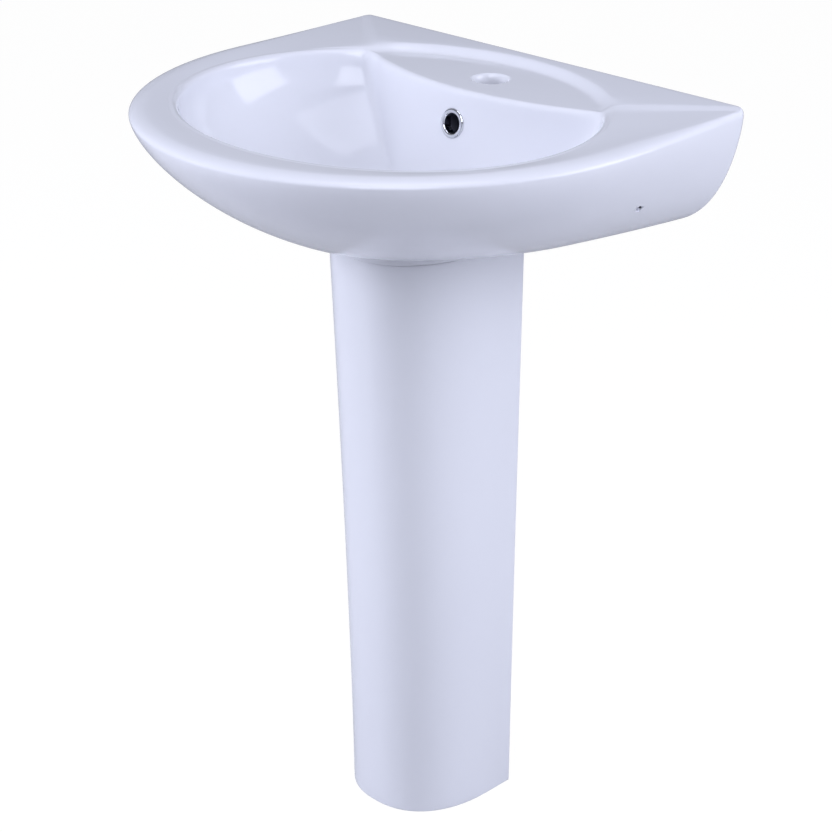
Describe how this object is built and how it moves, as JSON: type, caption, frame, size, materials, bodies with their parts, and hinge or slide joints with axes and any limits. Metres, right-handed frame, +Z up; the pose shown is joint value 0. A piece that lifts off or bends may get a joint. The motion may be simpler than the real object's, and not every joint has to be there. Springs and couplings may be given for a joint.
{
  "type": "pedestal sink",
  "caption": "D-shaped ceramic wash basin on a hollow ceramic pedestal, with a raised tap ledge, overflow, push-to-close waste and bottle trap.",
  "frame": {"origin": "centre of the overall box in plan, on the floor under the pedestal", "axes": "+Z up, +Y towards the wall the basin is fixed to, +X to the right for someone who stands in front of it"},
  "size_m": [0.55, 0.48, 0.81],
  "materials": {
    "china": "glossy white glaze",
    "chrome": "polished",
    "brass": "machined",
    "steel": "bright",
    "rubber": "matt",
    "white_plastic": "satin white"
  },
  "bodies": {
    "sink": {"basin": "china", "pedestal": "china", "seat_pads": "rubber", "overflow_ring": "chrome", "waste_body": "chrome", "flange_seal": "rubber", "cone_washer": "rubber", "slip_washer": "white_plastic", "back_nut": "brass", "plug_barrel": "white_plastic", "plug_spring": "steel", "inlet_nut": "white_plastic", "inlet_washer": "rubber", "trap_head": "white_plastic", "trap_cup": "white_plastic", "cup_seal": "rubber", "outlet_nut": "white_plastic", "outlet_seal": "rubber"},
    "plug": {"plug_cap": "chrome", "plug_seal": "rubber", "plug_stem": "steel"}
  },
  "joints": [
    {"name": "plug_slide", "type": "slide", "parent": "sink", "child": "plug", "axis": [0, 0, 1], "range_m": [-0.008, 0], "stiffness_N_per_m": 500, "springref_m": 0.02, "deforming": ["plug_spring"]}
  ]
}
